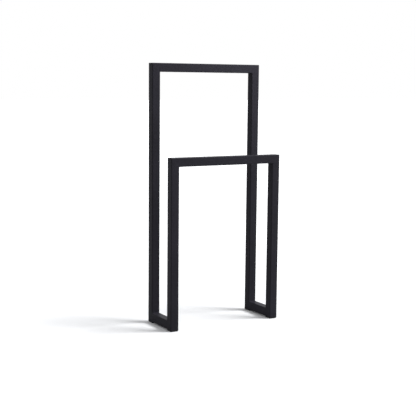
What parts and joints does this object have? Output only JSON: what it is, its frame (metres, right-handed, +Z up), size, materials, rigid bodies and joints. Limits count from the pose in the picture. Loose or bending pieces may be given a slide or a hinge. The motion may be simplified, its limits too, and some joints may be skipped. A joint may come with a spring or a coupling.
{
  "type": "freestanding towel stand",
  "caption": "Freestanding towel stand of square tube: a tall rear frame and a lower front frame, each with a towel rail on top, joined near the floor by foot rails on glides.",
  "frame": {"origin": "on the floor, in the middle of the stand's width and depth", "axes": "+X along the towel rails to the right as seen from the front, +Y from the low front frame to the tall rear frame, +Z up"},
  "size_m": [0.43, 0.17, 0.9],
  "materials": {
    "powder_coat": "fine-textured matt anthracite powder coat on steel",
    "glide_plastic": "moulded black polyethylene, matt"
  },
  "bodies": {
    "root": {"rear_left_upright": "powder_coat", "rear_right_upright": "powder_coat", "rear_top_rail": "powder_coat", "front_left_upright": "powder_coat", "front_right_upright": "powder_coat", "front_top_rail": "powder_coat", "left_foot_rail": "powder_coat", "right_foot_rail": "powder_coat", "mitre_weld_rear_left": "powder_coat", "mitre_weld_rear_right": "powder_coat", "mitre_weld_front_left": "powder_coat", "mitre_weld_front_right": "powder_coat", "foot_weld_rear_left": "powder_coat", "foot_weld_rear_right": "powder_coat", "foot_weld_front_left": "powder_coat", "foot_weld_front_right": "powder_coat", "glide_rear_left": "glide_plastic", "glide_rear_right": "glide_plastic", "glide_front_left": "glide_plastic", "glide_front_right": "glide_plastic"}
  },
  "joints": []
}
